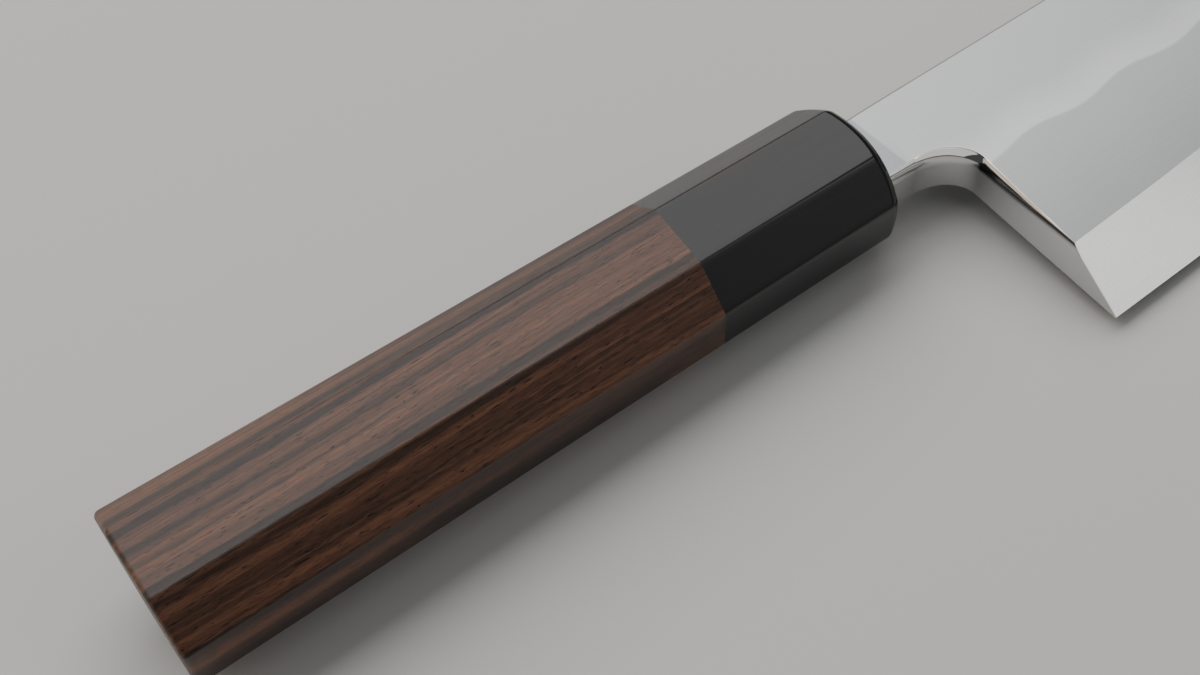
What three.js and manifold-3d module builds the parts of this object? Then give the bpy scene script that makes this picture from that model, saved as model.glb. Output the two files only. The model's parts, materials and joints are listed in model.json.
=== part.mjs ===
// A deba, the thick single-bevel kitchen knife for fish, lying on its left side on a table.
// Millimetres. The knife is drawn in its own axes: +X along the handle from the butt to the tip,
// +Y to the spine, +Z out of the right face, which has the bevel. The last group lays it down.
import * as THREE from 'three';
import { mergeVertices } from 'three/addons/utils/BufferGeometryUtils.js';
import Module from 'manifold-3d';

// Handle: a tapered octagon of wood with a horn ferrule
const WOOD_LENGTH = 98.3;        // butt to the joint with the ferrule
const FERRULE_LENGTH = 38.6;     // joint to the crown of the ferrule's domed front
const BUTT_HEIGHT = 28.9;        // across the spine and edge flats, at the butt
const BUTT_THICKNESS = 25;       // across the left and right flats, at the butt
const FRONT_HEIGHT = 24.8;       // across the spine and edge flats, at the crown
const SIDE_FLAT = 13.7;          // width of the left and right flats, at the butt
const SPINE_FLAT = 10.4;         // width of the spine and edge flats, at the butt
const BUTT_ROUND = 1.1;          // rounding around the butt end
const DOME_RADIUS = 24;          // of the ferrule's front
const DOME_SHIFT = 1.2;          // crown of the front below the handle's axis, towards the edge

// Blade: forged in one piece with its neck and tang
const BLADE_LENGTH = 180;        // heel to tip, along the handle
const HEEL_HEIGHT = 52.4;        // spine to edge, at the heel
const SPINE_ABOVE_AXIS = 6;      // spine over the handle's axis, at the ferrule's crown
const SPINE_RISE = 1.1;          // degrees between the straight spine and the handle
const SPINE_STRAIGHT = 92;       // ferrule's crown to where the spine starts to fall
const TIP_DROP = 13.5;           // tip below the line of the straight spine
const SPINE_EASE = 0.5;          // small chamfer along both sides of the spine
const HEEL_THICKNESS = 8.6;      // at the spine, above the heel
const TIP_THICKNESS = 3.4;       // of the flat, carried on to the tip
const FLAT_THINNING = 0.8;       // lost from the spine down to the bevel's ridge, at the heel
const BEVEL_AT_HEEL = 11.8;      // edge to the bevel's ridge, at the heel
const BEVEL_AT_TIP = 16;         // and carried on to the tip
const EDGE_LAND = 0.2;           // thickness left at the cutting edge
const HEEL_EDGE_ANGLE = 2.4;     // degrees that the edge rises at the heel
const TIP_EDGE_ANGLE = 38;       // degrees that the edge rises at the tip
const STRAIGHT_REACH = 80;       // pull of the edge's straight part on its curve
const BELLY_REACH = 46;          // pull of the edge's belly on its curve
const POINT_HEIGHT = 0.5;        // blunt height left at the point
const NECK_LENGTH = 15.9;        // ferrule's crown to the heel
const NECK_HEIGHT = 13.9;        // spine to the neck's lower edge
const NECK_SEAT = 8;             // depth of the neck in the ferrule, from the crown
const CHOIL_LENGTH = 8.8;        // inside corner between the neck and the heel, along the neck
const CHOIL_HEIGHT = 6.4;        // and along the heel
const CHOIL_ROUND = 2.6;         // polished rounding of the choil's right side, across the face
const CHOIL_ROUND_DEPTH = 3.2;   // and through the thickness
const NECK_FADE = 3;             // degrees that make the rounding run out towards the ferrule
const HEEL_FADE = 1.5;           // and towards the edge
const HEEL_LEAN = 4.8;           // degrees that the heel's end leans to the handle
const HOLLOW_DEPTH = 0.6;        // of the hollow ground into the left face
const HOLLOW_RIM = 3;            // flat rim left around the hollow
const HOLLOW_FADE = 30;          // length over which each end of the hollow runs out

// Inside the handle
const TANG_LENGTH = 92;          // neck's shoulder to the end of the tang
const TANG_SHOULDER = 2.2;       // step from the neck to the tang, above and below
const TANG_THICKNESS = 4.6;      // at the neck's shoulder
const TANG_END_HEIGHT = 6;
const TANG_END_THICKNESS = 3.4;
const SEAL_LENGTH = 4.5;         // resin in the slot behind the neck's shoulder
const DOWEL_IN_WOOD = 26;        // depth of the joining dowel in the wood
const DOWEL_WALL = 1.8;          // least wood left around the tang's slot in the dowel
const BEDDING_WALL = 0.9;        // least resin around the tang behind the dowel
const BEDDING_END = 3;           // resin behind the end of the tang
const FIT = 0.3;                 // clearance of every glued or bedded fit

// Where the belly meets the table, as a share of the edge's curve from the heel
const REST_SHARE = 0.74;

// Fineness of the curves
const BLADE_STATIONS = 16;
const NECK_STATIONS = 4;
const ROUND_STEPS = 8;
const BORE_SIDES = 32;
const DOME_SIDES = 64;
const DOME_STEPS = 12;
const HOLLOW_STEPS = 8;
const OVERSHOOT = 5;             // how far a cutting shape passes the piece that it cuts
const SEARCH_ROUNDS = 40;        // halvings when a place on a curve is looked up
const WELD = 1e-5;               // points closer than this are one

const radians = THREE.MathUtils.degToRad;
const lerp = THREE.MathUtils.lerp;
const wasm = await Module();
wasm.setup();

// Places along the handle's axis
const jointX = WOOD_LENGTH;
const crownX = WOOD_LENGTH + FERRULE_LENGTH;
const shoulderX = crownX - NECK_SEAT;
const sealRearX = shoulderX - FIT - SEAL_LENGTH;
const dowelFrontX = sealRearX - FIT;
const dowelRearX = jointX - DOWEL_IN_WOOD;
const tangEndX = shoulderX - TANG_LENGTH;
const beddingRearX = tangEndX - FIT - BEDDING_END;
const heelX = crownX + NECK_LENGTH;
const tipX = heelX + BLADE_LENGTH;

// Solids and meshes
function solid(geometry) {
  const bare = geometry.clone();
  bare.deleteAttribute('normal');
  bare.deleteAttribute('uv');
  const merged = mergeVertices(bare, WELD);
  return new wasm.Manifold(new wasm.Mesh({
    numProp: 3,
    vertProperties: new Float32Array(merged.attributes.position.array),
    triVerts: new Uint32Array(merged.index.array),
  }));
}

function mesh(name, body, colour, roughness, metalness) {
  const data = body.getMesh();
  const indexed = new THREE.BufferGeometry();
  indexed.setAttribute('position', new THREE.BufferAttribute(data.vertProperties, data.numProp));
  indexed.setIndex(new THREE.BufferAttribute(data.triVerts, 1));
  const geometry = indexed.toNonIndexed();
  geometry.computeVertexNormals();
  const material = new THREE.MeshStandardMaterial({ color: colour, roughness, metalness });
  const part = new THREE.Mesh(geometry, material);
  part.name = name;
  return part;
}

// A closed loft through loops of points of equal count, each anticlockwise seen from +X,
// listed from the rearmost to the foremost
function loft(loops) {
  const count = loops[0].length;
  const positions = loops.flat().flatMap((point) => [point.x, point.y, point.z]);
  const triangles = [];
  for (let row = 0; row + 1 < loops.length; row += 1) {
    for (let i = 0; i < count; i += 1) {
      const rear = row * count + i;
      const rearNext = row * count + (i + 1) % count;
      triangles.push(rear, rearNext, rearNext + count, rear, rearNext + count, rear + count);
    }
  }
  for (const [row, front] of [[0, false], [loops.length - 1, true]]) {
    const outline = loops[row].map((point) => new THREE.Vector2(point.y, point.z));
    for (const [a, b, c] of THREE.ShapeUtils.triangulateShape(outline, [])) {
      const face = front ? [a, b, c] : [a, c, b];
      triangles.push(...face.map((i) => row * count + i));
    }
  }
  const geometry = new THREE.BufferGeometry();
  geometry.setAttribute('position', new THREE.Float32BufferAttribute(positions, 3));
  geometry.setIndex(triangles);
  return solid(geometry);
}

// A loop of [y, z] pairs set at one place along the handle
function loopAt(x, pairs) {
  return pairs.map(([y, z]) => new THREE.Vector3(x, y, z));
}

// A rectangle centred on the tang's axis
function rectangle(x, height, thickness) {
  const y = height / 2;
  const z = thickness / 2;
  return loopAt(x, [[tangY + y, -z], [tangY + y, z], [tangY - y, z], [tangY - y, -z]]);
}

function rod(rearX, frontX, radius) {
  const geometry = new THREE.CylinderGeometry(radius, radius, frontX - rearX, BORE_SIDES);
  geometry.rotateZ(-Math.PI / 2);
  geometry.translate((rearX + frontX) / 2, tangY, 0);
  return solid(geometry);
}

// Handle: eight flats that run to one vanishing point, so that each stays a true plane
function taper(x) {
  return lerp(1, FRONT_HEIGHT / BUTT_HEIGHT, x / crownX);
}

function octagon(x, inset = 0) {
  const scale = taper(x);
  const top = scale * BUTT_HEIGHT / 2;
  const side = scale * BUTT_THICKNESS / 2;
  const onTop = scale * SPINE_FLAT / 2;
  const onSide = scale * SIDE_FLAT / 2;
  const slant = new THREE.Vector2(side - onTop, top - onSide).normalize();
  const reach = slant.x * top + slant.y * onTop - inset;
  const y = top - inset;
  const z = side - inset;
  const cornerZ = (reach - slant.x * y) / slant.y;
  const cornerY = (reach - slant.y * z) / slant.x;
  return loopAt(x, [
    [y, -cornerZ], [y, cornerZ], [cornerY, z], [-cornerY, z],
    [-y, cornerZ], [-y, -cornerZ], [-cornerY, -z], [cornerY, -z],
  ]);
}

function handleBody() {
  const loops = [];
  for (let step = 0; step <= ROUND_STEPS; step += 1) {
    const angle = (step / ROUND_STEPS) * Math.PI / 2;
    loops.push(octagon(BUTT_ROUND * (1 - Math.sin(angle)), BUTT_ROUND * (1 - Math.cos(angle))));
  }
  loops.reverse();
  loops.push(octagon(jointX - FIT));
  const dowelBore = rod(dowelRearX - FIT, jointX + OVERSHOOT, dowelRadius + FIT);
  const tailBore = rod(beddingRearX - FIT, jointX, beddingRadius + FIT);
  return loft(loops).subtract(dowelBore).subtract(tailBore);
}

function ferrule() {
  const block = loft([octagon(jointX), octagon(crownX + OVERSHOOT)]);
  const centreX = crownX - DOME_RADIUS;
  const rearX = jointX - OVERSHOOT;
  const profile = [new THREE.Vector2(0, rearX), new THREE.Vector2(DOME_RADIUS, rearX)];
  for (let step = 0; step <= DOME_STEPS; step += 1) {
    const angle = (step / DOME_STEPS) * Math.PI / 2;
    profile.push(new THREE.Vector2(DOME_RADIUS * Math.cos(angle), centreX + DOME_RADIUS * Math.sin(angle)));
  }
  const dome = new THREE.LatheGeometry(profile, DOME_SIDES);
  dome.rotateZ(-Math.PI / 2);
  dome.translate(0, -DOME_SHIFT, 0);
  const bore = rod(rearX, sealRearX, dowelRadius + FIT);
  return block.intersect(solid(dome)).subtract(bore).subtract(neckSlot());
}

// The slot for the neck, from the dowel's bore out through the dome
function neckSlot() {
  return neckBar(sealRearX - OVERSHOOT, crownX + OVERSHOOT, FIT);
}

// A bar with the neck's section at the ferrule, grown on every side
function neckBar(rearX, frontX, grown) {
  const top = spineY(crownX);
  const pairs = [
    [top + grown, backZ - grown], [top + grown, flatZ(crownX, top) + grown],
    [neckY - grown, flatZ(crownX, neckY) + grown], [neckY - grown, backZ - grown],
  ];
  return loft([loopAt(rearX, pairs), loopAt(frontX, pairs)]);
}

// Blade outline
const straightEnd = new THREE.Vector2(crownX + SPINE_STRAIGHT, straightSpineY(crownX + SPINE_STRAIGHT));
const tip = new THREE.Vector2(tipX, straightSpineY(tipX) - TIP_DROP);
const fallX = (straightEnd.x + tip.x) / 2;
const spineFall = new THREE.QuadraticBezierCurve(
  straightEnd,
  new THREE.Vector2(fallX, straightSpineY(fallX)),
  tip,
);
const heel = new THREE.Vector2(heelX, straightSpineY(heelX) - HEEL_HEIGHT);
const edge = new THREE.CubicBezierCurve(
  heel,
  heel.clone().add(heading(HEEL_EDGE_ANGLE, STRAIGHT_REACH)),
  tip.clone().sub(heading(TIP_EDGE_ANGLE, BELLY_REACH)),
  tip,
);

function straightSpineY(x) {
  return SPINE_ABOVE_AXIS + (x - crownX) * Math.tan(radians(SPINE_RISE));
}

function heading(degrees, length) {
  return new THREE.Vector2(length, 0).rotateAround(new THREE.Vector2(), radians(degrees));
}

// The share of a curve at which it reaches x, for a curve that always runs forwards
function shareAt(curve, x) {
  let low = 0;
  let high = 1;
  for (let round = 0; round < SEARCH_ROUNDS; round += 1) {
    const middle = (low + high) / 2;
    if (curve.getPoint(middle).x < x) low = middle;
    else high = middle;
  }
  return (low + high) / 2;
}

function spineY(x) {
  return x <= straightEnd.x ? straightSpineY(x) : spineFall.getPoint(shareAt(spineFall, x)).y;
}

function edgeSlope(x) {
  const tangent = edge.getTangent(shareAt(edge, Math.max(x, heelX)));
  return tangent.y / tangent.x;
}

function edgeY(x) {
  return x <= heelX ? heel.y + (x - heelX) * edgeSlope(heelX) : edge.getPoint(shareAt(edge, x)).y;
}

// Right face of the blade: one plane that thins to the tip and to the bevel. Behind the heel it
// bends gently, until at the ferrule it is parallel to the handle.
const backZ = -HEEL_THICKNESS / 2;

function flatZ(x, y) {
  const behind = THREE.MathUtils.clamp((heelX - x) / NECK_LENGTH, 0, 1);
  const forward = Math.max(x - heelX, 0) - NECK_LENGTH * (behind - behind ** 2 / 2);
  const down = (spineY(heelX) - y) / (HEEL_HEIGHT - BEVEL_AT_HEEL);
  const thinned = (forward / BLADE_LENGTH) * (HEEL_THICKNESS - TIP_THICKNESS);
  return HEEL_THICKNESS / 2 - thinned - down * FLAT_THINNING;
}

// One cross-section of the blade, from the spine round the right face to the edge and back
function bladeSection(x) {
  const top = spineY(x);
  const bottom = Math.min(edgeY(x), top - POINT_HEIGHT);
  const width = lerp(BEVEL_AT_HEEL, BEVEL_AT_TIP, (x - heelX) / BLADE_LENGTH);
  const ridge = bottom + width * Math.hypot(1, edgeSlope(x));
  const edgeZ = backZ + EDGE_LAND;
  const bevelSlope = (flatZ(x, ridge) - edgeZ) / (ridge - bottom);
  const ease = Math.min(SPINE_EASE, (top - bottom) / 3);
  const faceZ = (y) => Math.min(flatZ(x, y), edgeZ + (y - bottom) * bevelSlope);
  const shoulderY = top - ease;
  const ridgeY = Math.min(ridge, shoulderY - ease);
  const spineZ = Math.max(faceZ(top) - SPINE_EASE, (faceZ(top) + backZ) / 2);
  const easedBackZ = Math.min(backZ + SPINE_EASE, (spineZ + backZ) / 2);
  return loopAt(x, [
    [shoulderY, backZ], [top, easedBackZ], [top, spineZ],
    [shoulderY, faceZ(shoulderY)], [ridgeY, faceZ(ridgeY)], [bottom, edgeZ], [bottom, backZ],
  ]);
}

// What is ground away below the neck and behind the heel: a block less a plate with a rounded rim.
// The plate is tipped up from the blade's face towards the ferrule and the edge, so the rounding
// is widest in the choil's corner and runs out on both sides of it.
const neckY = SPINE_ABOVE_AXIS - NECK_HEIGHT;
const tangY = SPINE_ABOVE_AXIS - NECK_HEIGHT / 2;

function choilGap() {
  const lean = Math.tan(radians(HEEL_LEAN));
  const turn = Math.atan(lean * CHOIL_HEIGHT / CHOIL_LENGTH);
  const centreY = neckY - CHOIL_HEIGHT;
  const wallY = centreY + CHOIL_HEIGHT * Math.sin(turn);
  const wallX = heelX - (wallY - heel.y) * lean;
  const centreX = wallX - CHOIL_LENGTH * Math.cos(turn);
  const below = heel.y - OVERSHOOT;
  const above = spineY(straightEnd.x) + OVERSHOOT;
  const side = new THREE.Shape();
  side.moveTo(heelX + OVERSHOOT * lean, below);
  side.lineTo(wallX, wallY);
  side.absellipse(centreX, centreY, CHOIL_LENGTH, CHOIL_HEIGHT, turn, Math.PI / 2, false);
  side.lineTo(shoulderX - OVERSHOOT, neckY);
  side.lineTo(shoulderX - OVERSHOOT, above);
  side.lineTo(tipX + OVERSHOOT, above);
  side.lineTo(tipX + OVERSHOOT, below);
  side.closePath();
  const frontX = heelX + CHOIL_ROUND;
  const frontY = neckY + CHOIL_ROUND;
  const plate = new THREE.ExtrudeGeometry(side, {
    depth: tipX,
    bevelThickness: CHOIL_ROUND_DEPTH,
    bevelSize: CHOIL_ROUND,
    bevelOffset: -CHOIL_ROUND,
    bevelSegments: ROUND_STEPS,
    curveSegments: BORE_SIDES / 2,
  });
  plate.translate(-frontX, -frontY, -tipX - CHOIL_ROUND_DEPTH);
  plate.rotateY(radians(NECK_FADE));
  plate.rotateX(radians(-HEEL_FADE));
  plate.translate(frontX, frontY, flatZ(frontX, frontY));
  const backX = shoulderX - OVERSHOOT / 2;
  const block = new THREE.BoxGeometry(frontX - backX, HEEL_HEIGHT, HEEL_HEIGHT);
  block.translate((frontX + backX) / 2, frontY - HEEL_HEIGHT / 2, 0);
  return solid(block).subtract(solid(plate));
}

// The shallow hollow of the left face. Its floor is a parabola across the blade that meets the
// face at the rim, so the cutting shape goes on past the rim, below the face.
function backHollow() {
  const startX = heelX + HOLLOW_RIM;
  const endX = tipX - BEVEL_AT_TIP;
  const pastRim = 1.1;
  const loops = [];
  for (let station = 0; station <= BLADE_STATIONS; station += 1) {
    const x = lerp(startX, endX, station / BLADE_STATIONS);
    const fromEnd = Math.min(x - startX, endX - x);
    const fade = Math.sin(Math.min(fromEnd / HOLLOW_FADE, 1) * Math.PI / 2);
    const depth = lerp(-HOLLOW_DEPTH, HOLLOW_DEPTH, fade);
    const middle = (spineY(x) + edgeY(x)) / 2;
    const half = (spineY(x) - edgeY(x)) / 2 - HOLLOW_RIM;
    const pairs = [[middle + half * pastRim, backZ - OVERSHOOT]];
    for (let step = 0; step <= HOLLOW_STEPS; step += 1) {
      const across = lerp(pastRim, -pastRim, step / HOLLOW_STEPS);
      pairs.push([middle + half * across, backZ + depth - Math.abs(depth) * across * across]);
    }
    pairs.push([middle - half * pastRim, backZ - OVERSHOOT]);
    loops.push(loopAt(x, pairs));
  }
  return loft(loops);
}

// Tang: its height and thickness at any place, and a bar of that shape grown on every side
const tangHeight = NECK_HEIGHT - 2 * TANG_SHOULDER;

function tangLoop(x, grown) {
  const back = (shoulderX - x) / TANG_LENGTH;
  const height = lerp(tangHeight, TANG_END_HEIGHT, back);
  const thickness = lerp(TANG_THICKNESS, TANG_END_THICKNESS, back);
  return rectangle(x, height + 2 * grown, thickness + 2 * grown);
}

function tangBar(rearX, frontX, grown) {
  return loft([tangLoop(rearX, grown), tangLoop(frontX, grown)]);
}

function blade() {
  const stations = [shoulderX];
  for (let station = 0; station < NECK_STATIONS; station += 1) {
    stations.push(lerp(crownX, heelX, station / NECK_STATIONS));
  }
  for (let station = 0; station <= BLADE_STATIONS; station += 1) {
    const share = station / BLADE_STATIONS;
    stations.push(lerp(heelX, tipX, Math.sin(share * Math.PI / 2)));
  }
  const forged = loft(stations.map(bladeSection)).subtract(choilGap());
  return forged.subtract(backHollow()).add(tangBar(tangEndX, shoulderX + TANG_SHOULDER, 0));
}

// Round pieces on the tang's axis are as thick as the tang inside them needs
const slotHeight = tangHeight + 2 * FIT;
const slotThickness = TANG_THICKNESS + 2 * FIT;
const dowelRadius = Math.hypot(slotHeight, slotThickness) / 2 + DOWEL_WALL;
const [tailCorner] = tangLoop(dowelRearX, FIT);
const beddingRadius = Math.hypot(tailCorner.y - tangY, tailCorner.z) + BEDDING_WALL;

function joiningDowel() {
  const slot = loft([
    rectangle(dowelRearX - OVERSHOOT, slotHeight, slotThickness),
    rectangle(dowelFrontX + OVERSHOOT, slotHeight, slotThickness),
  ]);
  return rod(dowelRearX, dowelFrontX, dowelRadius).subtract(slot);
}

function tangBedding() {
  const tail = tangBar(tangEndX - FIT, dowelRearX + OVERSHOOT, FIT);
  return rod(beddingRearX, dowelRearX - FIT, beddingRadius).subtract(tail);
}

function slotSeal() {
  const block = neckBar(sealRearX, shoulderX - FIT, 0);
  return block.subtract(tangBar(sealRearX - OVERSHOOT, shoulderX + OVERSHOOT, FIT));
}

const knife = new THREE.Group();
knife.add(
  mesh('blade', blade(), 0xb8babb, 0.35, 1),
  mesh('ferrule', ferrule(), 0x1b1a1a, 0.15, 0),
  mesh('handle_body', handleBody(), 0x4b332b, 0.45, 0),
  mesh('joining_dowel', joiningDowel(), 0xc9ad80, 0.7, 0),
  mesh('tang_bedding', tangBedding(), 0x9a7440, 0.5, 0),
  mesh('slot_seal', slotSeal(), 0x2b241e, 0.5, 0),
);

// On the table the knife leans on two places: the ferrule's lower front corner on the edge side,
// and the belly of the edge. The table holds both, and the edge's direction at the belly.
function ferruleCorner() {
  const corner = new THREE.Vector3();
  let x = crownX;
  for (let round = 0; round < SEARCH_ROUNDS; round += 1) {
    corner.copy(octagon(x)[6]);
    const aside = Math.hypot(corner.y + DOME_SHIFT, corner.z);
    x = crownX - DOME_RADIUS + Math.sqrt(DOME_RADIUS ** 2 - aside ** 2);
  }
  return corner;
}

function layDown(group) {
  const belly = edge.getPoint(REST_SHARE);
  const bellyHeading = edge.getTangent(REST_SHARE);
  const reach = new THREE.Vector3(belly.x, belly.y, backZ).sub(ferruleCorner());
  const up = reach.cross(new THREE.Vector3(bellyHeading.x, bellyHeading.y, 0)).normalize();
  const along = new THREE.Vector3(1, 0, 0).projectOnPlane(up).normalize();
  const across = up.clone().cross(along);
  group.setRotationFromMatrix(new THREE.Matrix4().makeBasis(along, across, up).transpose());
  const box = new THREE.Box3().setFromObject(group, true);
  const middle = box.getCenter(new THREE.Vector3());
  group.position.set(-middle.x, -middle.y, -box.min.z);
}

layDown(knife);
const deba = new THREE.Group();
deba.add(knife);

export default deba;
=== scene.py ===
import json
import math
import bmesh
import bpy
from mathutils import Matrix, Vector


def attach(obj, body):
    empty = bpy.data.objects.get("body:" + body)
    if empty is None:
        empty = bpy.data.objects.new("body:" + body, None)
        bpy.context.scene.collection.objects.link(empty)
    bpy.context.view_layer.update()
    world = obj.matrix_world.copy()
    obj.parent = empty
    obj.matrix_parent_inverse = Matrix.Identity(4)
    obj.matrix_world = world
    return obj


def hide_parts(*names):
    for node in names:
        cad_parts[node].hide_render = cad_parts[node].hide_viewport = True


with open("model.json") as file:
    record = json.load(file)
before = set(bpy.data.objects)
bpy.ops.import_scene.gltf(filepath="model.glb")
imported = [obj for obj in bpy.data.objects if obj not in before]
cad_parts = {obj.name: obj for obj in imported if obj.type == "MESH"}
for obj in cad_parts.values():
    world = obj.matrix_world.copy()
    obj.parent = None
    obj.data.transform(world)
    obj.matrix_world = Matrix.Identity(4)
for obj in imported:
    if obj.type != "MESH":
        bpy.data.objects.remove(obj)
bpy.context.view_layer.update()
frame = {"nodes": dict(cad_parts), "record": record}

# %% [markdown]
# # A deba in Blender
# A deba is a thick kitchen knife for fish. Its blade is ground on one side only, and its tang is
# hidden in an octagonal wooden handle with a ferrule of black horn. The solids come from the CAD
# model, and this lesson gives them their fine edges, finishes, light and camera.
#
# The knife lies on a table, leaning a little, so none of its faces is level. Every step is easier
# along the knife's own axes: X from the butt to the tip, Y to the spine and Z out of the right
# face. The record's flat faces say where those axes are, so nothing has to be measured by eye.

MM = 0.001
flats = {mount["name"]: mount for mount in frame["record"]["mounts"]}
butt = Vector(flats["butt_face"]["pos_m"])
along = -Vector(flats["butt_face"]["axis"]).normalized()
right_face = Vector(flats["handle_right_flat"]["axis"])
left_face = Vector(flats["handle_left_flat"]["axis"])
outward = (right_face - left_face).normalized()
spineward = outward.cross(along).normalized()
outward = along.cross(spineward)
knife = Matrix.Translation(butt) @ Matrix((along, spineward, outward)).transposed().to_4x4()
print("butt at", [round(value / MM, 2) for value in butt], "mm, blade along", along)

# %% [markdown]
# ## Camera
# The photograph was taken from above the butt, on the edge side. A camera could be aimed by eye, but
# the corners of the handle's flats in the picture settle its place, its aim and its slight roll. These
# are given along the knife's axes, so they follow the knife if it is laid down differently. A lens of
# 60 mm gives the same mild perspective.

# %% Camera
CAMERA_PLACE = Vector((-3.3, -140.4, 275.7)) * MM
CAMERA_AZIMUTH = math.radians(-31.51)
CAMERA_ELEVATION = math.radians(59.6)
CAMERA_ROLL = math.radians(-3.65)
LENS_IN_MM = 60.03
SENSOR_IN_MM = 36

back = Vector((
    math.sin(CAMERA_AZIMUTH) * math.cos(CAMERA_ELEVATION),
    -math.cos(CAMERA_AZIMUTH) * math.cos(CAMERA_ELEVATION),
    math.sin(CAMERA_ELEVATION),
))
level = Vector((math.cos(CAMERA_AZIMUTH), math.sin(CAMERA_AZIMUTH), 0))
aim = Matrix((level, back.cross(level), back)).transposed() @ Matrix.Rotation(CAMERA_ROLL, 3, "Z")
camera_data = bpy.data.cameras.new("camera")
camera_data.lens = LENS_IN_MM
camera_data.sensor_width = SENSOR_IN_MM
camera_data.clip_start = 0.01
camera = bpy.data.objects.new("camera", camera_data)
camera.matrix_world = knife @ Matrix.Translation(CAMERA_PLACE) @ aim.to_4x4()
bpy.context.scene.collection.objects.link(camera)
bpy.context.scene.camera = camera
print("camera at", [round(value, 3) for value in camera.matrix_world.translation])

# %% [markdown]
# ## Colours and nodes
# Colours are easiest to pick as the hex values of a screen, but shaders count in linear light, so
# one function turns one into the other. A second function adds a node, sets it up and links it,
# and that is all that the finishes below need. Sockets are named where their names differ. A Mix node
# has a pair called A and B for each kind of value, so its colour sockets are picked by number.

# %% Colour and node helpers
AMOUNT, COLOUR_A, COLOUR_B = 0, 6, 7
MIXED = 2


def linear(hex_colour):
    screen = [int(hex_colour[place:place + 2], 16) / 255 for place in (1, 3, 5)]
    light = [
        value / 12.92 if value <= 0.04045 else ((value + 0.055) / 1.055) ** 2.4 for value in screen
    ]
    return (*light, 1.0)


def add_node(tree, kind, inputs, **settings):
    made = tree.nodes.new(kind)
    for setting, value in settings.items():
        setattr(made, setting, value)
    for socket, value in inputs.items():
        if isinstance(value, bpy.types.NodeSocket):
            tree.links.new(value, made.inputs[socket])
        else:
            made.inputs[socket].default_value = value
    return made


def new_finish(name):
    """A material with its shader, and points along the knife's axes to draw patterns on."""
    finish = bpy.data.materials.new(name)
    finish.use_nodes = True
    tree = finish.node_tree
    place = add_node(tree, "ShaderNodeTexCoord", {})
    points = add_node(tree, "ShaderNodeMapping", {
        "Vector": place.outputs["Object"],
        "Location": butt,
        "Rotation": knife.to_euler(),
    }, vector_type="TEXTURE")
    return finish, tree, tree.nodes["Principled BSDF"], points.outputs["Vector"]


print("half-way grey on a screen is", round(linear("#808080")[0], 3), "of white in linear light")

# %% [markdown]
# ## Table and light
# A plain pale table catches the shadow. Polished flats show their surroundings, so the main light
# is a large dim panel overhead and behind: the top of the handle and the blade mirror it towards the
# camera and get an even sheen, while the near sides of the handle mirror the room and stay dark. A
# smaller panel in front does the same for the bevel, a warm one at the left does it for the side
# of the choil by the heel, and a dim one straight above softens the shadows. An even sky would be
# simpler, but then all the flats would shine alike and the edges between them would be lost.

# %% Table
TABLE_REACH = 4

table_data = bpy.data.meshes.new("table")
shape = bmesh.new()
bmesh.ops.create_grid(shape, x_segments=1, y_segments=1, size=TABLE_REACH)
shape.to_mesh(table_data)
shape.free()
table = bpy.data.objects.new("table", table_data)
bpy.context.scene.collection.objects.link(table)
table_finish = bpy.data.materials.new("matt_table_paint")
table_finish.use_nodes = True
table_paint = table_finish.node_tree.nodes["Principled BSDF"]
table_paint.inputs["Base Color"].default_value = linear("#dddcd9")
table_paint.inputs["Roughness"].default_value = 0.75
table_data.materials.append(table_finish)
print("table", round(table.dimensions.x), "m wide")

# %% Lights
TABLE_MIDDLE = (0, 0, 0)


def soft_light(name, place, aim_at, size, watts, tint):
    """A panel of light, with its place and size in metres."""
    lamp = bpy.data.lights.new(name, "AREA")
    lamp.shape = "RECTANGLE"
    lamp.size, lamp.size_y = size
    lamp.energy = watts
    lamp.color = linear(tint)[:3]
    lamp_object = bpy.data.objects.new(name, lamp)
    lamp_object.location = place
    towards = Vector(aim_at) - Vector(place)
    lamp_object.rotation_euler = towards.to_track_quat("-Z", "Y").to_euler()
    bpy.context.scene.collection.objects.link(lamp_object)
    print(name, "radiance", round(watts / (math.pi * size[0] * size[1]), 2))
    return lamp_object


for name, place, aim_at, size, watts, tint in (
    ("back_panel", (0.2, 1.4, 1.4), (0.2, 1.4, 0), (2.8, 2.3), 45, "#ffffff"),
    ("front_panel", (0.85, -0.93, 0.9), TABLE_MIDDLE, (0.65, 0.55), 1.9, "#ffffff"),
    ("top_panel", (0.3, -0.4, 1.4), (0.3, -0.4, 0), (0.9, 1.2), 2.0, "#ffffff"),
    ("left_panel", (-1.2, 0.6, 0.6), TABLE_MIDDLE, (0.8, 1.0), 2.5, "#ffe6cc"),
):
    soft_light(name, place, aim_at, size, watts, tint)
world = bpy.data.worlds.new("studio")
world.use_nodes = True
room = world.node_tree.nodes["Background"]
room.inputs["Color"].default_value = linear("#8d8f92")
room.inputs["Strength"].default_value = 0.3
bpy.context.scene.world = world

# %% [markdown]
# ## Working on copies of the solids
# Each CAD node is a mesh of loose triangles. A copy of it is merged into one skin and turned to
# the knife's axes, worked on there, and turned back when it becomes a piece of the scene. Corners
# that lie closer together than the weld become one, which also closes the thinnest slivers. Large flat
# faces should stay flat to the eye right up to their rounded edges. Denser meshes would do that, but
# the Weighted Normal modifier does it with no more faces.

# %% Copying solids and keeping pieces
WELD = 0.015 * MM
FLAT_FOLD = 0.05


def solid_copy(node_name):
    copied = bmesh.new()
    copied.from_mesh(frame["nodes"][node_name].data)
    bmesh.ops.remove_doubles(copied, verts=copied.verts, dist=WELD)
    bmesh.ops.transform(copied, matrix=knife.inverted(), verts=copied.verts)
    return copied


def join_flat_faces(shape):
    limit = math.radians(FLAT_FOLD)
    bmesh.ops.dissolve_limit(shape, angle_limit=limit, verts=shape.verts, edges=shape.edges)


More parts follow.
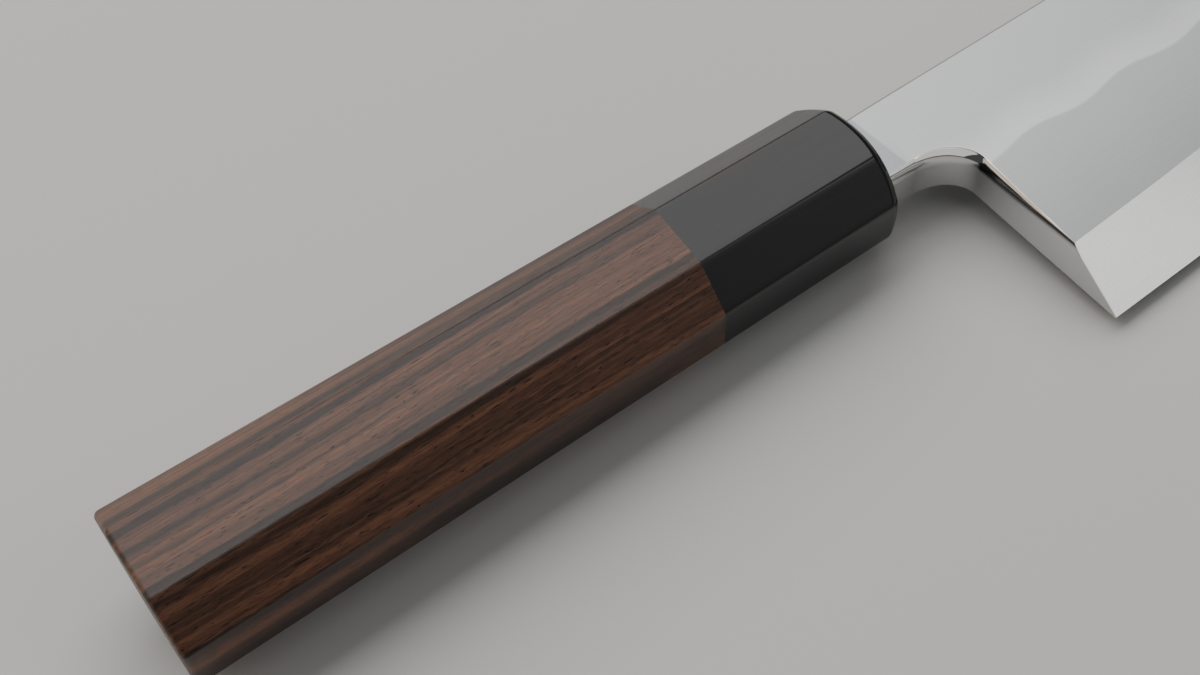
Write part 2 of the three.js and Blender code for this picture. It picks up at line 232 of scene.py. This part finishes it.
def fold(edge):
    """Degrees between an edge's two faces, below zero in an inside corner."""
    return math.degrees(edge.calc_face_angle_signed(0))


def keep_piece(shape, name, node_name, crisp_from, soft_edges=()):
    """Shades edges softly up to a fold of crisp_from degrees, and makes the piece."""
    bmesh.ops.transform(shape, matrix=knife, verts=shape.verts)
    for face in shape.faces:
        face.smooth = True
    for edge in shape.edges:
        edge.smooth = abs(fold(edge)) < crisp_from or edge in soft_edges
    mesh = bpy.data.meshes.new(name)
    shape.to_mesh(mesh)
    shape.free()
    piece = bpy.data.objects.new(name, mesh)
    bpy.context.scene.collection.objects.link(piece)
    shading = piece.modifiers.new("flat_faces_stay_flat", "WEIGHTED_NORMAL")
    shading.keep_sharp = True
    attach(piece, "root")
    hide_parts(node_name)
    print(name, len(mesh.polygons), "faces")
    return piece


print("solids:", sorted(frame["nodes"]))

# %% [markdown]
# ## Wooden handle
# The handle is planed to eight flats, and its corners are only just broken with fine paper. It could
# be modelled again from an octagon, but the CAD solid already has the flats and the rounded butt, so
# a narrow bevel along its corners is all that is missing. Its front end moves up to the ferrule, since
# the glue joint of the real handle is closed.

# %% Wooden handle
CORNER_BREAK = 0.3 * MM
CORNER_FOLD = (15, 60)


def corner_edges(shape):
    """Edges between two flats, and not the finer folds within a rounding."""
    least, most = CORNER_FOLD
    return [edge for edge in shape.edges if least < fold(edge) < most]


def break_edges(shape, edges, width):
    bmesh.ops.bevel(
        shape, geom=edges, offset=width, affect="EDGES", segments=2, profile=0.5, material=-1,
        clamp_overlap=False,
    )


handle_shape = solid_copy("handle_body")
join_flat_faces(handle_shape)
ferrule_shape = solid_copy("ferrule")
joint = min(vert.co.x for vert in ferrule_shape.verts)
wood_front = max(vert.co.x for vert in handle_shape.verts)
for vert in handle_shape.verts:
    if vert.co.x > wood_front - WELD:
        vert.co.x = joint
corners = corner_edges(handle_shape)
break_edges(handle_shape, corners, CORNER_BREAK)
handle_piece = keep_piece(handle_shape, "wooden_handle", "handle_body", crisp_from=35)
print(len(corners), "corner edges broken, joint at", round(joint / MM, 2), "mm")

# %% [markdown]
# ## Blade
# The blade's solid has its real faces: the flat, the bevel, the hollow back and the rounded
# choil. They could be picked by number, but numbers change with every cut, so they are sorted by
# where they lie and which way they face: satin flats, a bevel from the grinding stone and a
# mirror-polished choil.

# %% Blade: faces by finish
SATIN, STONE, MIRROR = range(3)
NECK_SEAT = 8 * MM
FLAT_UNDER_SPINE = 12 * MM
HEEL_MARGIN = 1 * MM

# How far a face's normal points along one of the knife's axes, from -1 to 1
LOOKS_UP = 0.7
LIKE_THE_FLAT = 0.99
TURNED_AWAY = 0.93
LEANS_TO_EDGE = -0.1
LOOKS_AT_HANDLE = -0.3

blade_shape = solid_copy("blade")
join_flat_faces(blade_shape)
neck_start = max(vert.co.x for vert in ferrule_shape.verts)
edge_line = min(vert.co.y for vert in blade_shape.verts)
heel = min(vert.co.x for vert in blade_shape.verts if vert.co.y < edge_line + HEEL_MARGIN)
spine = max(vert.co.y for vert in blade_shape.verts)


def on_bevel(face):
    """Slopes down to the edge more than the flat does, and isn't the end of the heel."""
    slopes_to_edge = face.normal.y < LEANS_TO_EDGE and LOOKS_UP < face.normal.z < LIKE_THE_FLAT
    ahead_of_heel = face.calc_center_median().x > heel - HEEL_MARGIN
    return slopes_to_edge and ahead_of_heel and face.normal.x > LOOKS_AT_HANDLE


def in_choil(face):
    """Turns away from the flat, under the neck or at the end of the heel."""
    middle = face.calc_center_median()
    below_neck = middle.y < spine - FLAT_UNDER_SPINE
    by_heel = neck_start - NECK_SEAT < middle.x < heel + HEEL_MARGIN
    return by_heel and below_neck and abs(face.normal.z) < TURNED_AWAY


for face in blade_shape.faces:
    face.material_index = STONE if on_bevel(face) else MIRROR if in_choil(face) else SATIN
counted = [face.material_index for face in blade_shape.faces]
print("satin, stone and mirror faces:", [counted.count(finish) for finish in (SATIN, STONE, MIRROR)])

# %% [markdown]
# Where the cuts of the solid meet by the choil, they leave a few slivers that are one face with the
# flat or the bevel on the real blade. A stronger weld would swallow them, but it would bend the edges
# beside them too, so the edges between a sliver and its neighbours dissolve instead.

# %% Blade: slivers
SLIVER = 0.25 * MM
SLIVER_FOLD = 4


def narrow(face):
    return face.calc_area() < SLIVER * max(side.calc_length() for side in face.edges)


def beside_sliver(edge):
    by_choil = all(neck_start < vert.co.x < heel + HEEL_MARGIN for vert in edge.verts)
    finishes = {face.material_index for face in edge.link_faces}
    one_face = finishes in ({SATIN}, {STONE}) and abs(fold(edge)) < SLIVER_FOLD
    return by_choil and one_face and any(map(narrow, edge.link_faces))


slivers = [edge for edge in blade_shape.edges if beside_sliver(edge)]
bmesh.ops.dissolve_edges(blade_shape, edges=slivers)
print(len(slivers), "sliver edges dissolved, heel at", round(heel / MM, 2), "mm")

# %% [markdown]
# By the heel the choil ends in a crisp corner on the flat and on the bevel, and on the real knife
# that corner catches a bright line. A fine bevel along it does the same. Round the inside corner
# the lip was rolled over on the buffing wheel. More rings of faces could round it, but letting the
# shading run softly out of the flat is enough for an edge so narrow.

# %% Blade: corner and rounding along the choil
CHOIL_CORNER = 0.1 * MM
CRISP_BLADE = 16
ROUNDED_RIM = 36
CRISP_RIM = 40
END_OF_HEEL = -0.5


def is_rim(edge):
    """Between the end of the heel and a face that looks up."""
    lips = [face for face in edge.link_faces if face.material_index == MIRROR]
    if len(lips) != 1 or fold(edge) < CRISP_RIM:
        return False
    looks_up = max(face.normal.z for face in edge.link_faces) >= LOOKS_UP
    return looks_up and lips[0].normal.x < END_OF_HEEL and not narrow(lips[0])


rim = [edge for edge in blade_shape.edges if is_rim(edge)]
break_edges(blade_shape, rim, CHOIL_CORNER)
rounded_over = []
for edge in blade_shape.edges:
    finishes = {face.material_index for face in edge.link_faces}
    if finishes == {SATIN, MIRROR} and CRISP_BLADE < fold(edge) < ROUNDED_RIM:
        rounded_over.append(edge)
print(len(rim), "crisp edges along the choil,", len(rounded_over), "rounded over")
blade_piece = keep_piece(
    blade_shape, "ground_blade", "blade", CRISP_BLADE, rounded_over,
)

# %% [markdown]
# The polished lip of the choil mirrors whatever stands in front of the knife, and an empty room
# would turn it black. In a studio a white card is held up for it. Here that is a dim panel, and
# light linking lets it reach the blade alone, so that the near sides of the handle stay dark.

# %% Blade: a panel for the choil to mirror
def light_alone(panel, piece):
    """Lets a panel reach one piece and no other."""
    lit_pieces = bpy.data.collections.new(panel.name + "_lights")
    lit_pieces.objects.link(piece)
    panel.light_linking.receiver_collection = lit_pieces


choil_panel = soft_light(
    "choil_panel", (-0.15, -1.2, 1.0), TABLE_MIDDLE, (3.2, 2.1), 19, "#fff9f2",
)
light_alone(choil_panel, blade_piece)

# %% [markdown]
# ## Horn ferrule
# The ferrule carries the handle's eight flats on to a domed front with a softly rounded rim. It
# could be a copy of the solid, but a rounding needs clean rings of faces to run along. So it
# starts from the eight corners of its rear end: their outline is extruded to the front, drawn in
# ring by ring, and each ring is set at its place on the dome.

# %% Ferrule: its taper and dome
DOME_RADIUS = 24 * MM
DOME_SHIFT = 1.2 * MM
FLATS = 8

join_flat_faces(ferrule_shape)
rear_verts = [vert for vert in ferrule_shape.verts if vert.co.x < joint + WELD]
rear_verts.sort(key=lambda vert: vert.co.yz.length)
rear_corners = sorted(rear_verts[-FLATS:], key=lambda vert: math.atan2(vert.co.z, vert.co.y))
long_edge = max(rear_corners[0].link_edges, key=lambda edge: edge.calc_length())
rim_corner = long_edge.other_vert(rear_corners[0]).co
narrowing = 1 - rim_corner.yz.length / rear_corners[0].co.yz.length
narrowing /= rim_corner.x - joint


def width_at(x):
    return 1 - narrowing * (x - joint)


def behind_crown(y, z):
    return DOME_RADIUS - math.sqrt(DOME_RADIUS ** 2 - (y + DOME_SHIFT) ** 2 - z ** 2)


crown = max(vert.co.x + behind_crown(vert.co.y, vert.co.z) for vert in ferrule_shape.verts)
print("crown at", round(crown / MM, 2), "mm, narrower there by", round(1 - width_at(crown), 3))

# %% Ferrule: outline and rings
RIM_ROUND = 1.2 * MM
RIM_RINGS = 6
DOME_RINGS = 7
CUTS_PER_FLAT = 7

horn_shape = bmesh.new()
horn_shape.faces.new([horn_shape.verts.new(vert.co) for vert in rear_corners])
bmesh.ops.subdivide_edges(horn_shape, edges=horn_shape.edges, cuts=CUTS_PER_FLAT)
rear_end = next(iter(horn_shape.faces))
raised = bmesh.ops.extrude_face_region(horn_shape, geom=[rear_end], use_keep_orig=True)["geom"]
front = next(part for part in raised if isinstance(part, bmesh.types.BMFace))
bmesh.ops.translate(horn_shape, vec=(crown - joint, 0, 0), verts=front.verts)
bmesh.ops.scale(horn_shape, vec=(1, width_at(crown), width_at(crown)), verts=front.verts)
drop = horn_shape.verts.layers.float.new("drop")
for vert in front.verts:
    vert[drop] = RIM_ROUND
inset = 0
for ring in range(1, RIM_RINGS + 1):
    turn = math.radians(90) * ring / RIM_RINGS
    step = RIM_ROUND * (1 - math.cos(turn)) - inset
    bmesh.ops.inset_region(horn_shape, faces=[front], thickness=step, use_even_offset=True)
    inset += step
    for vert in front.verts:
        vert[drop] = RIM_ROUND * (1 - math.sin(turn))
for ring in range(DOME_RINGS, 0, -1):
    bmesh.ops.inset_region(horn_shape, faces=[front], thickness=0)
    closer = ring / (ring + 1)
    bmesh.ops.scale(horn_shape, vec=(1, closer, closer), verts=front.verts)
bmesh.ops.poke(horn_shape, faces=[front])
print("ferrule drawn in by", RIM_RINGS + DOME_RINGS, "rings")

# %% Ferrule: rings set on the dome
for vert in horn_shape.verts:
    if vert.co.x > joint + WELD:
        x = crown - behind_crown(vert.co.y, vert.co.z) - vert[drop]
        wider = width_at(x) / width_at(crown)
        vert.co = (x, vert.co.y * wider, vert.co.z * wider)
bmesh.ops.recalc_face_normals(horn_shape, faces=horn_shape.faces)
break_edges(horn_shape, corner_edges(horn_shape), CORNER_BREAK)
print("ferrule", len(horn_shape.faces), "faces before its hole is cut")

# %% [markdown]
# The neck of the blade, the resin behind it and the dowel sit in the ferrule without a gap, so
# the ferrule is cut with these very shapes. The hole could be drawn to size instead, but then it
# would have to follow each change of the neck by hand. The resin and the dowel have a slot for the
# tang, which their convex hull closes.

# %% Ferrule: what sits in it
def loose_object(shape, name):
    mesh = bpy.data.meshes.new(name)
    shape.to_mesh(mesh)
    shape.free()
    made = bpy.data.objects.new(name, mesh)
    bpy.context.scene.collection.objects.link(made)
    return made


def hull_of(node_name):
    hull = solid_copy(node_name)
    bmesh.ops.delete(hull, geom=hull.edges, context="EDGES_FACES")
    made = bmesh.ops.convex_hull(hull, input=hull.verts)
    inside = [part for part in made["geom_interior"] if isinstance(part, bmesh.types.BMVert)]
    bmesh.ops.delete(hull, geom=inside)
    return hull


horn_block = loose_object(horn_shape, "horn_block")
cutters = [
    loose_object(solid_copy("blade"), "neck_cutter"),
    loose_object(hull_of("slot_seal"), "resin_cutter"),
    loose_object(hull_of("joining_dowel"), "dowel_cutter"),
]
for cutter in cutters:
    cut = horn_block.modifiers.new(cutter.name, "BOOLEAN")
    cut.operation = "DIFFERENCE"
    cut.solver = "EXACT"
    cut.object = cutter
cut_results = bpy.context.evaluated_depsgraph_get()
horn_shape = bmesh.new()
horn_shape.from_object(horn_block, cut_results)
for spent in [horn_block, *cutters]:
    bpy.data.objects.remove(spent)
horn_piece = keep_piece(horn_shape, "horn_ferrule", "ferrule", crisp_from=30)

# %% [markdown]
# The near flat of the ferrule is polished too, and shows a faint grey that grows towards the blade.
# Paler horn would do that too, but it would turn the other flats grey as well. A very dim panel that
# lights the ferrule alone leaves them black.

# %% Ferrule: a panel for its near flat to mirror
horn_panel = soft_light(
    "horn_panel", (0.75, -1.11, 0.68), TABLE_MIDDLE, (0.86, 0.7), 0.62, "#ffffff",
)
light_alone(horn_panel, horn_piece)

# %% [markdown]
# ## Striped ebony
# The handle is a dark, striped hardwood, planed, sanded fine and oiled. Its growth layers show as
# long stripes from black to a reddish brown, each with finer streaks in it. Their borders are
# feathered by the fibres, and short open pores lie between them. The layers are drawn as noise
# that is stretched far along the handle and thin across it, so the stripes run on over the corners
# and onto the butt, as in a real block. A wave texture could draw them too, but its stripes are all
# alike. Two more noises bend the layers before they are drawn: a long one lets the stripes wander,
# and a short one feathers them. How the handle lay in its block decides where the stripes fall, so
# the layers have a tilt and a place too. Single fibres are too fine to show, so they are drawn as
# bundles some ten times as wide.

# %% Striped ebony: bent layers
LAYER_TILT = math.radians(8)
LAYER_PLACE = Vector((0, 18, 142)) * MM
WANDER = Vector((160, 40, 40)) * MM
WANDER_REACH = 4.5 * MM
FEATHER = Vector((4, 0.4, 0.4)) * MM
FEATHER_REACH = 0.9 * MM
STRIPE = Vector((300, 2.2, 11)) * MM
STREAK = Vector((150, 0.6, 3)) * MM
FIBRE = Vector((8, 0.22, 0.3)) * MM
PORE = Vector((3.0, 0.14, 0.14)) * MM

ebony, tree, shader, points = new_finish("striped_ebony")
for size, reach in ((WANDER, WANDER_REACH), (FEATHER, FEATHER_REACH)):
    place = add_node(tree, "ShaderNodeMapping", {
        "Vector": points, "Scale": size,
    }, vector_type="TEXTURE")
    bend = add_node(tree, "ShaderNodeTexNoise", {
        "Vector": place.outputs[0], "Scale": 1, "Detail": 1,
    })
    bent = add_node(tree, "ShaderNodeVectorMath", {
        0: bend.outputs["Color"], 1: (0, reach, reach), 2: points,
    }, operation="MULTIPLY_ADD")
    points = bent.outputs[0]
layers = {}
for name, size, detail, lowest, highest in (
    ("stripe", STRIPE, 2, 0.35, 0.65), ("streak", STREAK, 2, 0.3, 0.7),
    ("fibre", FIBRE, 1, 0.25, 0.75), ("pore", PORE, 0, 0.67, 0.77),
):
    place = add_node(tree, "ShaderNodeMapping", {
        "Vector": points, "Location": LAYER_PLACE, "Rotation": (LAYER_TILT, 0, 0), "Scale": size,
    }, vector_type="TEXTURE")
    noise = add_node(tree, "ShaderNodeTexNoise", {
        "Vector": place.outputs[0], "Scale": 1, "Detail": detail,
    })
    layers[name] = add_node(tree, "ShaderNodeMapRange", {
        "Value": noise.outputs["Fac"], "From Min": lowest, "From Max": highest,
    }, interpolation_type="SMOOTHSTEP").outputs[0]
print("wood layers:", list(layers))

# %% Striped ebony: colour, oil and relief
PORE_DEPTH = 0.05 * MM

dark_wood = add_node(tree, "ShaderNodeMix", {
    AMOUNT: layers["streak"], COLOUR_A: linear("#1f140d"), COLOUR_B: linear("#3a2519"),
}, data_type="RGBA")
brown_wood = add_node(tree, "ShaderNodeMix", {
    AMOUNT: layers["streak"], COLOUR_A: linear("#593929"), COLOUR_B: linear("#83573f"),
}, data_type="RGBA")
striped = add_node(tree, "ShaderNodeMix", {
    AMOUNT: layers["stripe"], COLOUR_A: dark_wood.outputs[MIXED], COLOUR_B: brown_wood.outputs[MIXED],
}, data_type="RGBA")
fibre_light = add_node(tree, "ShaderNodeMapRange", {
    "Value": layers["fibre"], "To Min": 0.8, "To Max": 1.2,
})
fibred = add_node(tree, "ShaderNodeVectorMath", {
    0: striped.outputs[MIXED], "Scale": fibre_light.outputs[0],
}, operation="SCALE")
pored = add_node(tree, "ShaderNodeMix", {
    AMOUNT: layers["pore"], COLOUR_A: fibred.outputs[0], COLOUR_B: linear("#0d0806"),
}, data_type="RGBA")
oil = add_node(tree, "ShaderNodeMapRange", {
    "Value": layers["fibre"], "To Min": 0.36, "To Max": 0.46,
})
relief = add_node(tree, "ShaderNodeMath", {
    0: layers["pore"], 1: -1.0, 2: layers["fibre"],
}, operation="MULTIPLY_ADD")
grain = add_node(tree, "ShaderNodeBump", {
    "Height": relief.outputs[0], "Strength": 0.15, "Distance": PORE_DEPTH,
})
tree.links.new(pored.outputs[MIXED], shader.inputs["Base Color"])
tree.links.new(oil.outputs[0], shader.inputs["Roughness"])
tree.links.new(grain.outputs[0], shader.inputs["Normal"])
shader.inputs["IOR"].default_value = 1.55
handle_piece.data.materials.append(ebony)
print(ebony.name, len(tree.nodes), "nodes")

# %% [markdown]
# ## Black horn
# The ferrule is buffalo horn, sawn, sanded and buffed to a gloss. It is black, and where it is
# thin it lets a little brown through in soft clouds. Buffing leaves hairlines along the grain that
# blur its reflections unevenly. A plain black gloss could stand for it from afar, but up close it
# would look like plastic. The hairlines are drawn some ten times as wide as they are, to show at all.

# %% Black horn
HORN_CLOUD = Vector((34, 11, 11)) * MM
BUFFING_LINE = Vector((20, 0.25, 0.25)) * MM
HAIRLINE_DEPTH = 0.02 * MM

horn, tree, shader, points = new_finish("buffed_black_horn")
layers = {}
for name, size, lowest, highest in (
    ("cloud", HORN_CLOUD, 0.52, 0.75), ("hairline", BUFFING_LINE, 0.3, 0.7),
):
    place = add_node(tree, "ShaderNodeMapping", {
        "Vector": points, "Scale": size,
    }, vector_type="TEXTURE")
    noise = add_node(tree, "ShaderNodeTexNoise", {
        "Vector": place.outputs[0], "Scale": 1, "Detail": 2,
    })
    layers[name] = add_node(tree, "ShaderNodeMapRange", {
        "Value": noise.outputs["Fac"], "From Min": lowest, "From Max": highest,
    }, interpolation_type="SMOOTHSTEP").outputs[0]
horn_colour = add_node(tree, "ShaderNodeMix", {
    AMOUNT: layers["cloud"], COLOUR_A: linear("#141415"), COLOUR_B: linear("#1d130d"),
}, data_type="RGBA")
gloss = add_node(tree, "ShaderNodeMapRange", {
    "Value": layers["hairline"], "To Min": 0.15, "To Max": 0.24,
})
hairlines = add_node(tree, "ShaderNodeBump", {
    "Height": layers["hairline"], "Strength": 0.06, "Distance": HAIRLINE_DEPTH,
})
tree.links.new(horn_colour.outputs[MIXED], shader.inputs["Base Color"])
tree.links.new(gloss.outputs[0], shader.inputs["Roughness"])
tree.links.new(hairlines.outputs[0], shader.inputs["Normal"])
shader.inputs["IOR"].default_value = 1.5
horn_piece.data.materials.append(horn)
print(horn.name, len(tree.nodes), "nodes")

# %% [markdown]
# ## Blade steel
# One carbon steel, finished in three ways. The flats are polished to a fine satin, on which the
# temper line shows: a wavy border between the hard steel by the edge, a little darker, and the
# softer steel above it, which is brightest just over the line. The line could be painted on a
# picture, but a wave with a few sizes of its own is sharp from any distance and easy to change.

# %% Satin flats: the temper line
TEMPER_WAVE = 21 * MM
TEMPER_CREST = 161.5 * MM
TEMPER_HEIGHT = 0.65 * MM
TEMPER_RISE = 0.03
TEMPER_AT_CREST = -13.75 * MM

satin, tree, shader, points = new_finish("satin_carbon_steel")
axes = add_node(tree, "ShaderNodeSeparateXYZ", {0: points})
from_crest = add_node(tree, "ShaderNodeMath", {
    0: axes.outputs["X"], 1: TEMPER_CREST,
}, operation="SUBTRACT")
turn = add_node(tree, "ShaderNodeMath", {
    0: from_crest.outputs[0], 1: math.tau / TEMPER_WAVE,
}, operation="MULTIPLY")
wave = add_node(tree, "ShaderNodeMath", {0: turn.outputs[0]}, operation="COSINE")
rise = add_node(tree, "ShaderNodeMath", {
    0: from_crest.outputs[0], 1: TEMPER_RISE, 2: TEMPER_AT_CREST,
}, operation="MULTIPLY_ADD")
temper_line = add_node(tree, "ShaderNodeMath", {
    0: wave.outputs[0], 1: TEMPER_HEIGHT, 2: rise.outputs[0],
}, operation="MULTIPLY_ADD")
over_line = add_node(tree, "ShaderNodeMath", {
    0: axes.outputs["Y"], 1: temper_line.outputs[0],
}, operation="SUBTRACT")
print("temper line rises to", round((TEMPER_AT_CREST + TEMPER_HEIGHT) / MM, 2), "mm")

# %% Satin flats: steel above and under the line
TEMPER_BLUR = (-0.3 * MM, 0.5 * MM)
TEMPER_GLOW = 9 * MM
TEMPER_FADE = 20 * MM

soft_steel = add_node(tree, "ShaderNodeMapRange", {
    "Value": over_line.outputs[0], "From Min": TEMPER_BLUR[0], "From Max": TEMPER_BLUR[1],
}, interpolation_type="SMOOTHSTEP")
glow = add_node(tree, "ShaderNodeMapRange", {
    "Value": over_line.outputs[0], "From Max": TEMPER_GLOW, "To Min": 1, "To Max": 0,
}, interpolation_type="SMOOTHSTEP")
fading = add_node(tree, "ShaderNodeMapRange", {
    "Value": over_line.outputs[0], "From Min": -TEMPER_FADE, "From Max": 0,
}, interpolation_type="SMOOTHSTEP")
above_line = add_node(tree, "ShaderNodeMix", {
    AMOUNT: glow.outputs[0], COLOUR_A: linear("#b1b2b2"), COLOUR_B: linear("#c4c5c5"),
}, data_type="RGBA")
under_line = add_node(tree, "ShaderNodeMix", {
    AMOUNT: fading.outputs[0], COLOUR_A: linear("#a0a1a1"), COLOUR_B: linear("#a9aaaa"),
}, data_type="RGBA")
tempered = add_node(tree, "ShaderNodeMix", {
    AMOUNT: soft_steel.outputs[0],
    COLOUR_A: under_line.outputs[MIXED], COLOUR_B: above_line.outputs[MIXED],
}, data_type="RGBA")
print("brightest over the line, and even again", round(TEMPER_GLOW / MM), "mm above it")

# %% [markdown]
# Just short of the ferrule the flats are painted darker, in a patch with a slanting border: painted
# shade, where the ferrule shades the neck. The fine lines of the polish run along the blade and give
# the flats their soft, even sheen. Roughness alone could blur the reflections as much, but the lines
# are what the eye takes for polished steel. Real ones are some hundredths of a millimetre wide, too
# fine for the render, so they are drawn about ten times as wide.

# %% Satin flats: painted shade by the ferrule, and polish lines
# Painted shade of the ferrule on the neck: where it ends at the spine, how its border slants, and how
# soft that border is
SHADE_EDGE_AT_SPINE = 137.5 * MM
SHADE_SLANT = 0.17
SHADE_BLUR = 0.3 * MM
SATIN_LINE = Vector((26, 0.3, 0.3)) * MM

# Nearly all of a noise lies between these
NOISE_LOW, NOISE_HIGH = 0.3, 0.7

shade_slant = add_node(tree, "ShaderNodeMath", {
    0: axes.outputs["Y"], 1: SHADE_SLANT, 2: axes.outputs["X"],
}, operation="MULTIPLY_ADD")
shade_edge = SHADE_EDGE_AT_SPINE + SHADE_SLANT * spine
out_of_painted_shade = add_node(tree, "ShaderNodeMapRange", {
    "Value": shade_slant.outputs[0],
    "From Min": shade_edge - SHADE_BLUR, "From Max": shade_edge + SHADE_BLUR,
}, interpolation_type="SMOOTHSTEP")
# Painted shade: behind the slanting border the steel is painted a darker grey where the ferrule shades
# the neck
steel_with_painted_shade = add_node(tree, "ShaderNodeMix", {
    AMOUNT: out_of_painted_shade.outputs[0], COLOUR_A: linear("#999b9d"), COLOUR_B: tempered.outputs[MIXED],
}, data_type="RGBA")
satin_place = add_node(tree, "ShaderNodeMapping", {
    "Vector": points, "Scale": SATIN_LINE,
}, vector_type="TEXTURE")
satin_lines = add_node(tree, "ShaderNodeTexNoise", {
    "Vector": satin_place.outputs[0], "Scale": 1, "Detail": 2,
})
haze = add_node(tree, "ShaderNodeMapRange", {
    "Value": satin_lines.outputs["Fac"], "From Min": NOISE_LOW, "From Max": NOISE_HIGH,
    "To Min": 0.34, "To Max": 0.38,
})
sheen = add_node(tree, "ShaderNodeMapRange", {
    "Value": satin_lines.outputs["Fac"], "From Min": NOISE_LOW, "From Max": NOISE_HIGH,
    "To Min": 0.96, "To Max": 1.04,
})
lined = add_node(tree, "ShaderNodeVectorMath", {
    0: steel_with_painted_shade.outputs[MIXED], "Scale": sheen.outputs[0],
}, operation="SCALE")
tree.links.new(lined.outputs[0], shader.inputs["Base Color"])
tree.links.new(haze.outputs[0], shader.inputs["Roughness"])
shader.inputs["Metallic"].default_value = 1
blade_piece.data.materials.append(satin)
print(satin.name, len(tree.nodes), "nodes")

# %% [markdown]
# The bevel comes from a flat stone, with scratches parallel to the edge that make it brighter than
# the flats. Anisotropic gloss could stand for the scratches, but as stretched noise they also show
# one by one. They too are drawn about ten times as wide as they are, to show at all.

# %% Bevel from the stone
STONE_LINE = Vector((45, 0.28, 0.28)) * MM
SCRATCH_DEPTH = 0.02 * MM
EDGE_ANGLE = math.radians(2.4)

stone, tree, shader, points = new_finish("stone_ground_carbon_steel")
stone_place = add_node(tree, "ShaderNodeMapping", {
    "Vector": points, "Rotation": (0, 0, EDGE_ANGLE), "Scale": STONE_LINE,
}, vector_type="TEXTURE")
scratches = add_node(tree, "ShaderNodeTexNoise", {
    "Vector": stone_place.outputs[0], "Scale": 1, "Detail": 3,
})
scratch_light = add_node(tree, "ShaderNodeMix", {
    AMOUNT: scratches.outputs["Fac"], COLOUR_A: linear("#a4a5a5"), COLOUR_B: linear("#d2d2d2"),
}, data_type="RGBA")
scratch_haze = add_node(tree, "ShaderNodeMapRange", {
    "Value": scratches.outputs["Fac"], "From Min": NOISE_LOW, "From Max": NOISE_HIGH,
    "To Min": 0.24, "To Max": 0.32,
})
scratch_relief = add_node(tree, "ShaderNodeBump", {
    "Height": scratches.outputs["Fac"], "Strength": 0.12, "Distance": SCRATCH_DEPTH,
})
tree.links.new(scratch_light.outputs[MIXED], shader.inputs["Base Color"])
tree.links.new(scratch_haze.outputs[0], shader.inputs["Roughness"])
tree.links.new(scratch_relief.outputs[0], shader.inputs["Normal"])
shader.inputs["Metallic"].default_value = 1
blade_piece.data.materials.append(stone)
print(stone.name, len(tree.nodes), "nodes")

# %% [markdown]
# The choil is buffed to a mirror, so that it doesn't chafe the finger. It could be a perfect mirror,
# but the wheel leaves a faint haze that differs from place to place, so the roughness varies a bit.

# %% Mirror-polished choil
BUFFING_HAZE = Vector((4, 4, 0.4)) * MM

mirror, tree, shader, points = new_finish("mirror_polished_carbon_steel")
buff_place = add_node(tree, "ShaderNodeMapping", {
    "Vector": points, "Scale": BUFFING_HAZE,
}, vector_type="TEXTURE")
buffing = add_node(tree, "ShaderNodeTexNoise", {
    "Vector": buff_place.outputs[0], "Scale": 1, "Detail": 1,
})
buff_haze = add_node(tree, "ShaderNodeMapRange", {
    "Value": buffing.outputs["Fac"], "From Min": NOISE_LOW, "From Max": NOISE_HIGH,
    "To Min": 0.05, "To Max": 0.12,
})
tree.links.new(buff_haze.outputs[0], shader.inputs["Roughness"])
shader.inputs["Base Color"].default_value = linear("#d0d0cf")
shader.inputs["Metallic"].default_value = 1
blade_piece.data.materials.append(mirror)
print([finish.name for finish in blade_piece.data.materials])

# %% [markdown]
# ## Inside the handle
# The dowel, the resin round the tang and the resin in the slot are closed in. They could keep the
# plain colours of the solids, but they are real pieces that show when the handle is taken apart, so
# each has a finish of its own: pale raw wood with its fibres, drawn as coarse bundles again, and amber
# or dark resin that stirring left cloudy.

# %% Raw dowel wood
RAW_FIBRE = Vector((14, 0.5, 0.5)) * MM


def dress_node(node_name, finish):
    slots = frame["nodes"][node_name].data.materials
    slots.clear()
    slots.append(finish)
    print(finish.name, "on", node_name)


raw_wood, tree, shader, points = new_finish("raw_magnolia")
raw_place = add_node(tree, "ShaderNodeMapping", {
    "Vector": points, "Scale": RAW_FIBRE,
}, vector_type="TEXTURE")
raw_fibre = add_node(tree, "ShaderNodeTexNoise", {
    "Vector": raw_place.outputs[0], "Scale": 1, "Detail": 2,
})
raw_colour = add_node(tree, "ShaderNodeMix", {
    AMOUNT: raw_fibre.outputs["Fac"], COLOUR_A: linear("#b99a68"), COLOUR_B: linear("#d8c096"),
}, data_type="RGBA")
tree.links.new(raw_colour.outputs[MIXED], shader.inputs["Base Color"])
shader.inputs["Roughness"].default_value = 0.7
dress_node("joining_dowel", raw_wood)

# %% Resins
RESIN_CLOUD = Vector((1.6, 1.6, 1.6)) * MM

for name, node_name, deep, pale in (
    ("amber_resin", "tang_bedding", "#6b431c", "#a47a44"),
    ("dark_resin", "slot_seal", "#1d1712", "#332a22"),
):
    resin, tree, shader, points = new_finish(name)
    cloud_place = add_node(tree, "ShaderNodeMapping", {
        "Vector": points, "Scale": RESIN_CLOUD,
    }, vector_type="TEXTURE")
    clouds = add_node(tree, "ShaderNodeTexVoronoi", {
        "Vector": cloud_place.outputs[0], "Scale": 1,
    })
    resin_colour = add_node(tree, "ShaderNodeMix", {
        AMOUNT: clouds.outputs["Distance"], COLOUR_A: linear(pale), COLOUR_B: linear(deep),
    }, data_type="RGBA")
    tree.links.new(resin_colour.outputs[MIXED], shader.inputs["Base Color"])
    shader.inputs["Roughness"].default_value = 0.4
    dress_node(node_name, resin)

# %% [markdown]
# ## Last update
# The view layer is brought up to date once more at the end.

# %% Last update
bpy.context.view_layer.update()
